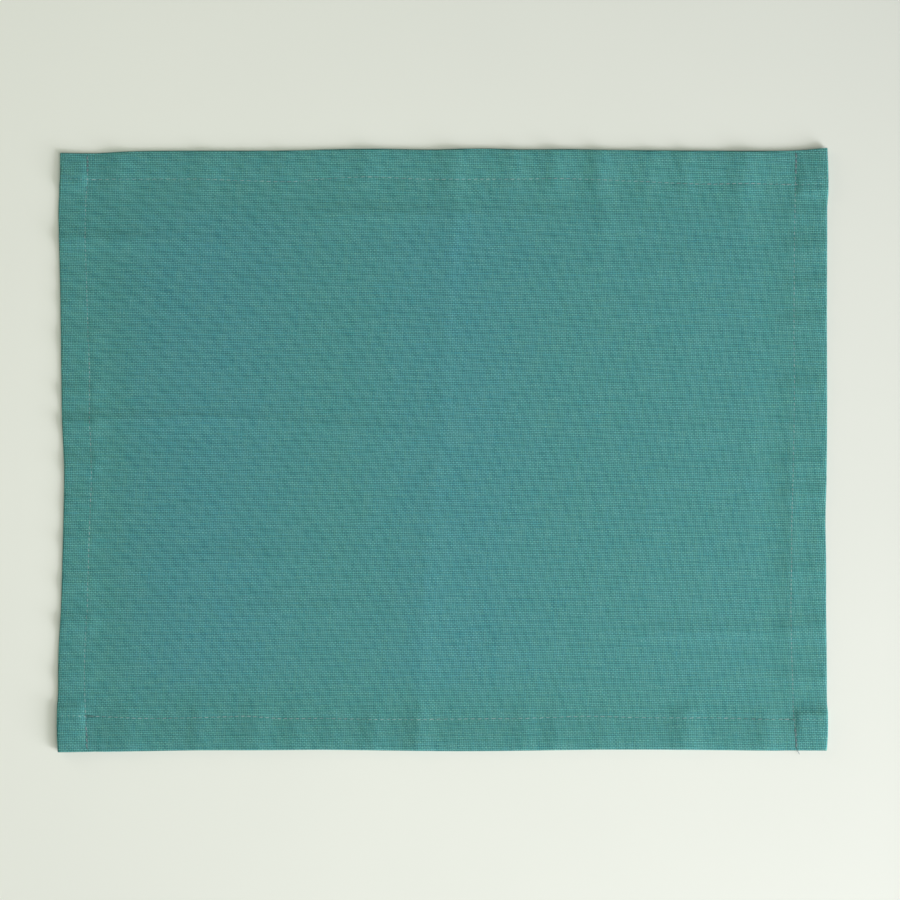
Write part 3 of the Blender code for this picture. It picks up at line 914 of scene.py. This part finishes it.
def bar_share(tree, aside, along, bars):
    """How dark a yarn is in its bar, from 1 on the darkest to -1 on the lightest."""
    close = add_node(
        tree, "ShaderNodeMath", {0: aside, 1: bars.aside_by_aside / 2, 2: bars.aside},
        operation="MULTIPLY_ADD",
    )
    close = add_node(
        tree, "ShaderNodeMath", {0: along, 1: bars.aside_by_along, 2: close},
        operation="MULTIPLY_ADD",
    )
    count = add_node(tree, "ShaderNodeMath", {0: aside, 1: close}, operation="MULTIPLY")
    count = add_node(
        tree, "ShaderNodeMath", {0: along, 1: bars.along, 2: count}, operation="MULTIPLY_ADD"
    )
    angle = add_node(tree, "ShaderNodeMath", {0: count, 1: 2 * math.pi}, operation="MULTIPLY")
    return add_node(tree, "ShaderNodeMath", {0: angle}, operation="SINE")


def blue_share(tree, at):
    """How blue the dye is at a place, from 0 at the hems to 1 on a band of the warp."""
    share = BLUE_BETWEEN
    for band in BLUE_BANDS:
        aside = add_node(
            tree, "ShaderNodeMath", {0: at.outputs["X"], 1: band.x}, operation="SUBTRACT"
        )
        aside = add_node(tree, "ShaderNodeMath", {0: aside}, operation="ABSOLUTE")
        on_band = add_node(
            tree, "ShaderNodeMapRange",
            {0: aside, 1: 0.0, 2: band.half_width, 3: 1.0, 4: BLUE_BETWEEN},
            interpolation_type="SMOOTHSTEP",
        )
        share = add_node(tree, "ShaderNodeMath", {0: share, 1: on_band}, operation="MAXIMUM")
    for axis, half_size in (("X", HALF_LENGTH), ("Y", HALF_WIDTH)):
        out = add_node(tree, "ShaderNodeMath", {0: at.outputs[axis]}, operation="ABSOLUTE")
        hem_start = half_size - HEM_WIDTH
        inside = add_node(
            tree, "ShaderNodeMapRange",
            {0: out, 1: hem_start - HEM_FADE, 2: hem_start, 3: 1.0, 4: 0.0},
            interpolation_type="SMOOTHSTEP",
        )
        share = add_node(tree, "ShaderNodeMath", {0: share, 1: inside}, operation="MULTIPLY")
    return share


def plain_woven_cotton():
    """Plain-woven cotton of soft, round, slightly slubbed yarns, dyed teal.

    It is matt. The gaps between the yarns carry painted shade and their crowns are light, so
    both sets of yarns show as fine broken rows, and slubs make streaks that are one yarn wide.
    """
    material, tree, shader = new_material("plain_woven_cotton")
    cloth = add_node(tree, "ShaderNodeUVMap", {}, uv_map="yarn_places")
    at = add_node(tree, "ShaderNodeSeparateXYZ", {0: cloth})
    stray = add_node(
        tree, "ShaderNodeTexNoise",
        {"Vector": cloth, "Scale": 1 / YARN_WANDER, "Detail": 1.0},
        noise_dimensions="2D",
    )
    stray = add_node(tree, "ShaderNodeSeparateColor", {0: stray.outputs["Color"]})
    leaning = add_node(
        tree, "ShaderNodeMath",
        {0: at.outputs["Y"], 1: -WARP_LEAN, 2: at.outputs["X"]},
        operation="MULTIPLY_ADD",
    )
    waves, slubs, hues, bar_shares = [], [], [], []
    for place, along, pitch, slub, channel, bars in (
        (leaning, at.outputs["Y"], WARP_PITCH, WARP_SLUB, "Red", WARP_BARS),
        (at.outputs["Y"], at.outputs["X"], WEFT_PITCH, WEFT_SLUB, "Green", WEFT_BARS),
    ):
        stray_by = add_node(
            tree, "ShaderNodeMath", {0: stray.outputs[channel], 1: YARN_STRAY},
            operation="MULTIPLY",
        )
        along_yarn = add_node(
            tree, "ShaderNodeMath", {0: along, 1: 1 / slub}, operation="MULTIPLY"
        )
        aside = add_node(
            tree, "ShaderNodeMath", {0: place, 1: 1 / (CROWD_YARNS * pitch)},
            operation="MULTIPLY",
        )
        crowd_at = add_node(tree, "ShaderNodeCombineXYZ", {0: along_yarn, 1: aside})
        crowd = add_node(
            tree, "ShaderNodeTexNoise", {"Vector": crowd_at, "Scale": 1.0, "Detail": 0.0},
            noise_dimensions="2D",
        )
        shift = add_node(
            tree, "ShaderNodeMath", {0: crowd, 1: CROWDING, 2: stray_by},
            operation="MULTIPLY_ADD",
        )
        count = add_node(
            tree, "ShaderNodeMath", {0: place, 1: 1 / pitch, 2: shift},
            operation="MULTIPLY_ADD",
        )
        angle = add_node(tree, "ShaderNodeMath", {0: count, 1: math.pi}, operation="MULTIPLY")
        waves.append(add_node(tree, "ShaderNodeMath", {0: angle}, operation="SINE"))
        yarn = add_node(tree, "ShaderNodeMath", {0: count}, operation="FLOOR")
        yarn_place = add_node(tree, "ShaderNodeMath", {0: yarn, 1: pitch}, operation="MULTIPLY")
        bar_shares.append(bar_share(tree, yarn_place, along, bars))
        yarn_row = add_node(
            tree, "ShaderNodeMath", {0: yarn, 1: YARN_ROW_STEP}, operation="MULTIPLY"
        )
        where = add_node(tree, "ShaderNodeCombineXYZ", {0: along_yarn, 1: yarn_row})
        uneven = add_node(
            tree, "ShaderNodeTexNoise", {"Vector": where, "Scale": 1.0, "Detail": 2.0},
            noise_dimensions="2D",
        )
        slubs.append(
            add_node(tree, "ShaderNodeMapRange", {0: uneven, 1: SLUB_RANGE[0], 2: SLUB_RANGE[1]})
        )
        dyed = add_node(tree, "ShaderNodeSeparateColor", {0: uneven.outputs["Color"]})
        bluer = add_node(
            tree, "ShaderNodeMapRange",
            {0: dyed.outputs["Blue"], 1: HUE_RANGE[0], 2: HUE_RANGE[1]},
        )
        hues.append(
            add_node(
                tree, "ShaderNodeMix",
                {0: bluer, 1: linear(YARN_GREEN), 2: linear(YARN_BLUE)}, data_type="RGBA",
            )
        )
    over = add_node(tree, "ShaderNodeMath", {0: waves[0], 1: waves[1]}, operation="MULTIPLY")
    tops = []
    for wave, sign, height in zip(waves, (1, -1), (WARP_HEIGHT, 1.0)):
        rounded = add_node(tree, "ShaderNodeMath", {0: wave}, operation="ABSOLUTE")
        rounded = add_node(tree, "ShaderNodeMath", {0: rounded, 1: height}, operation="MULTIPLY")
        tops.append(
            add_node(
                tree, "ShaderNodeMath", {0: over, 1: sign * CROWN, 2: rounded},
                operation="MULTIPLY_ADD",
            )
        )
    top = add_node(tree, "ShaderNodeMath", {0: tops[0], 1: tops[1]}, operation="MAXIMUM")
    shades = []
    for slub, hue, dark, light in (
        (slubs[0], hues[0], WARP_DARK, WARP_LIGHT),
        (slubs[1], hues[1], WEFT_DARK, WEFT_LIGHT),
    ):
        plain = add_node(
            tree, "ShaderNodeMix", {0: slub, 1: linear(dark), 2: linear(light)},
            data_type="RGBA",
        )
        shades.append(
            add_node(
                tree, "ShaderNodeMix", {0: 1.0, 1: plain, 2: hue},
                data_type="RGBA", blend_type="MULTIPLY",
            )
        )
    weft_over = add_node(
        tree, "ShaderNodeMapRange", {0: over, 1: CROSSING_BLEND, 2: -CROSSING_BLEND}
    )
    shade = add_node(
        tree, "ShaderNodeMix", {0: weft_over, 1: shades[0], 2: shades[1]},
        data_type="RGBA",
    )
    depth = add_node(tree, "ShaderNodeMapRange", {0: top, 1: DEPTH_RANGE[0], 2: DEPTH_RANGE[1]})
    # A bar shows most where its yarn is thin, so it is broken as that is
    for slub, share in zip(slubs, bar_shares):
        thin = add_node(
            tree, "ShaderNodeMapRange",
            {0: slub, 1: BAR_GONE, 2: BAR_FULL, 3: 0.0, 4: BAR_SHADE},
        )
        darker = add_node(tree, "ShaderNodeMath", {0: thin, 1: share}, operation="MULTIPLY")
        depth = add_node(tree, "ShaderNodeMath", {0: depth, 1: darker}, operation="SUBTRACT")
    # Painted shade: the colour sinks to the gaps' dark where the weave lies low
    yarn_color = add_node(
        tree, "ShaderNodeMix", {0: depth, 1: linear(GAP_PAINTED_SHADE), 2: shade}, data_type="RGBA"
    )
    blue = blue_share(tree, at)
    tint = add_node(
        tree, "ShaderNodeMix", {0: blue, 1: linear(TINT_GREEN), 2: linear(TINT_BLUE)},
        data_type="RGBA",
    )
    color = add_node(
        tree, "ShaderNodeMix", {0: 1.0, 1: yarn_color, 2: tint},
        data_type="RGBA", blend_type="MULTIPLY",
    )
    bump = add_node(
        tree, "ShaderNodeBump", {"Height": top, "Distance": YARN_HEIGHT, "Strength": 1.0}
    )
    tree.links.new(color.outputs[2], shader.inputs["Base Color"])
    tree.links.new(bump.outputs[0], shader.inputs["Normal"])
    shader.inputs["Roughness"].default_value = 0.9
    shader.inputs["Specular IOR Level"].default_value = 0.3
    shader.inputs["Sheen Weight"].default_value = 0.10
    shader.inputs["Sheen Roughness"].default_value = 0.5
    return material


# Sewing thread
THREAD_DARK, THREAD_LIGHT = "#567a7d", "#9fb2b1"
# a darker copy of the thread's colours: painted shade for the backstitches and the tail
SHADED_THREAD_DARK, SHADED_THREAD_LIGHT = "#4a5d62", "#647a80"
# painted shade of the needle's holes, where each stitch's ends go down
HOLE_PAINTED_SHADE = "#16323a"
THREAD_PLIES = 2
THREAD_TWIST = 4.0  # turns in one stitch
PLY_HEIGHT = 0.05 * MM
WEAR_LENGTH = 6 * MM  # the thread's shade changes over about this length
WEAR_RANGE = (0.3, 0.7)  # of the noise, from the darkest to the lightest
HOLE_SHADE_RANGE = (0.15, 0.32)  # painted shade darkens a stitch between these distances from its middle


def spun_thread(name, dark, light):
    """Spun polyester sewing thread, twisted of two plies.

    It is a dull greyish teal, lighter where it is worn, and each stitch carries painted shade
    towards its ends, which go down into the needle's holes. So a seam shows as a row of light
    dashes.
    """
    material, tree, shader = new_material(name)
    where = add_node(tree, "ShaderNodeUVMap", {}, uv_map="along_thread")
    at = add_node(tree, "ShaderNodeSeparateXYZ", {0: where})
    plies = add_node(
        tree, "ShaderNodeMath", {0: at.outputs["Y"], 1: THREAD_TWIST, 2: at.outputs["X"]},
        operation="MULTIPLY_ADD",
    )
    angle = add_node(
        tree, "ShaderNodeMath", {0: plies, 1: THREAD_PLIES * 2 * math.pi},
        operation="MULTIPLY",
    )
    twist = add_node(tree, "ShaderNodeMath", {0: angle}, operation="SINE")
    place = add_node(tree, "ShaderNodeTexCoord", {})
    wear = add_node(
        tree, "ShaderNodeTexNoise",
        {"Vector": place.outputs["Object"], "Scale": 1 / WEAR_LENGTH, "Detail": 2.0},
    )
    wear = add_node(tree, "ShaderNodeMapRange", {0: wear, 1: WEAR_RANGE[0], 2: WEAR_RANGE[1]})
    worn = add_node(
        tree, "ShaderNodeMix", {0: wear, 1: linear(dark), 2: linear(light)},
        data_type="RGBA",
    )
    # Painted shade: each stitch darkens towards its ends, in the needle's holes
    from_middle = add_node(
        tree, "ShaderNodeMath", {0: at.outputs["Y"], 1: 0.5}, operation="SUBTRACT"
    )
    from_middle = add_node(tree, "ShaderNodeMath", {0: from_middle}, operation="ABSOLUTE")
    hole_shade = add_node(
        tree, "ShaderNodeMapRange", {0: from_middle, 1: HOLE_SHADE_RANGE[0], 2: HOLE_SHADE_RANGE[1]},
        interpolation_type="SMOOTHSTEP",
    )
    shade = add_node(
        tree, "ShaderNodeMix", {0: hole_shade, 1: worn, 2: linear(HOLE_PAINTED_SHADE)}, data_type="RGBA"
    )
    bump = add_node(
        tree, "ShaderNodeBump", {"Height": twist, "Distance": PLY_HEIGHT, "Strength": 0.6}
    )
    tree.links.new(shade.outputs[2], shader.inputs["Base Color"])
    tree.links.new(bump.outputs[0], shader.inputs["Normal"])
    shader.inputs["Roughness"].default_value = 0.65
    shader.inputs["Sheen Weight"].default_value = 0.1
    return material


# The table's board
BOARD_LIGHT, BOARD_DARK = "#eef1e6", "#d6d9d0"
BOARD_REACH = 0.35  # the painted light and shade change the board's colour as far as this to the left and right
MOTTLES = 6.0  # to a metre
MOTTLING = 0.2  # their share of the change in shade


def painted_board():
    """A matt painted board: pale and warm, with the faintest mottling.

    Its colour is painted a shade lighter to the left, painted light where less lamp light
    reaches it.
    """
    material, tree, shader = new_material("matt_painted_board")
    where = add_node(tree, "ShaderNodeTexCoord", {})
    mottle = add_node(
        tree, "ShaderNodeTexNoise",
        {"Vector": where.outputs["Object"], "Scale": MOTTLES, "Detail": 3.0},
    )
    at = add_node(tree, "ShaderNodeSeparateXYZ", {0: where.outputs["Object"]})
    # Painted light and shade: the board is coloured lighter to the left, where the lamps give
    # less light, and darker to the right
    painted_shade_to_right = add_node(
        tree, "ShaderNodeMapRange",
        {
            0: at.outputs["X"], 1: -BOARD_REACH, 2: BOARD_REACH,
            3: -MOTTLING / 2, 4: 1 - MOTTLING / 2,
        },
    )
    across = add_node(
        tree, "ShaderNodeMath", {0: mottle, 1: MOTTLING, 2: painted_shade_to_right},
        operation="MULTIPLY_ADD", use_clamp=True,
    )
    shade = add_node(
        tree, "ShaderNodeMix", {0: across, 1: linear(BOARD_LIGHT), 2: linear(BOARD_DARK)},
        data_type="RGBA",
    )
    tree.links.new(shade.outputs[2], shader.inputs["Base Color"])
    shader.inputs["Roughness"].default_value = 0.85
    return material


# --- Stage ------------------------------------------------------------------------------

TABLE_REACH = 8.0
# Two lamps stand at the front right, one of them low and raking, and one hangs overhead. The
# one at the back left is as dim and low as a pale wall is, and keeps the far folds from black.
Lamp = namedtuple("Lamp", "name size watts place color")
LAMPS = (
    Lamp("raking_lamp", 0.95, 76.0, (1.713, -1.222, 0.643), "#f8f6ff"),
    Lamp("side_lamp", 0.90, 12.7, (1.20, -0.80, 1.50), "#fdfff9"),
    Lamp("overhead_lamp", 0.45, 1.86, (0.0, 0.0, 0.90), "#fdfff9"),
    Lamp("wall_glow", 0.80, 12.5, (-1.57, 1.17, 0.42), "#fbfff0"),
)
ROOM_COLOR = "#fcfff2"
ROOM_LIGHT = 0.14


def make_table():
    bm = bmesh.new()
    bmesh.ops.create_grid(bm, x_segments=1, y_segments=1, size=TABLE_REACH)
    mesh = bpy.data.meshes.new("table_top")
    bm.to_mesh(mesh)
    bm.free()
    mesh.materials.append(painted_board())
    table = bpy.data.objects.new("table_top", mesh)
    bpy.context.scene.collection.objects.link(table)


def light_studio():
    """Adds the square soft lamps, which point at the mat's middle, and the room's own light."""
    for lamp in LAMPS:
        light = bpy.data.lights.new(lamp.name, "AREA")
        light.size = lamp.size
        light.energy = lamp.watts
        light.color = linear(lamp.color)[:3]
        stand = bpy.data.objects.new(lamp.name, light)
        stand.location = lamp.place
        stand.rotation_euler = (-Vector(lamp.place)).to_track_quat("-Z", "Y").to_euler()
        bpy.context.scene.collection.objects.link(stand)
    world = bpy.data.worlds.new("soft_room")
    world.use_nodes = True
    back = world.node_tree.nodes["Background"]
    back.inputs["Color"].default_value = linear(ROOM_COLOR)
    back.inputs["Strength"].default_value = ROOM_LIGHT
    bpy.context.scene.world = world
    bpy.context.scene.view_settings.view_transform = "Standard"


def place_camera():
    data = bpy.data.cameras.new("overhead_camera")
    data.sensor_width = SENSOR / MM
    data.lens = data.sensor_width * CAMERA_HEIGHT / VIEW_WIDTH
    camera = bpy.data.objects.new("overhead_camera", data)
    middle = (mat_low + mat_high) / 2
    camera.location = (middle.x + VIEW_CENTRE_X, middle.y, CAMERA_HEIGHT)
    bpy.context.scene.collection.objects.link(camera)
    bpy.context.scene.camera = camera


def main():
    place_camera()
    light_studio()
    make_table()
    cloth = make_cloth(plain_woven_cotton())
    thread = spun_thread("spun_sewing_thread", THREAD_DARK, THREAD_LIGHT)
    # Three rows lie over each other there; their thread is a darker copy of the sewing thread,
    # painted shade for the shadow between the rows, and the tail takes it too
    shaded_thread = spun_thread("shaded_sewing_thread", SHADED_THREAD_DARK, SHADED_THREAD_LIGHT)
    sewing = [
        make_needle_thread(thread),
        make_backstitches(shaded_thread),
        make_thread_tail(shaded_thread),
        make_bobbin_thread(thread),
    ]
    for piece in [cloth] + sewing:
        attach(piece, "root")
    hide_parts("hemmed_cloth")


main()
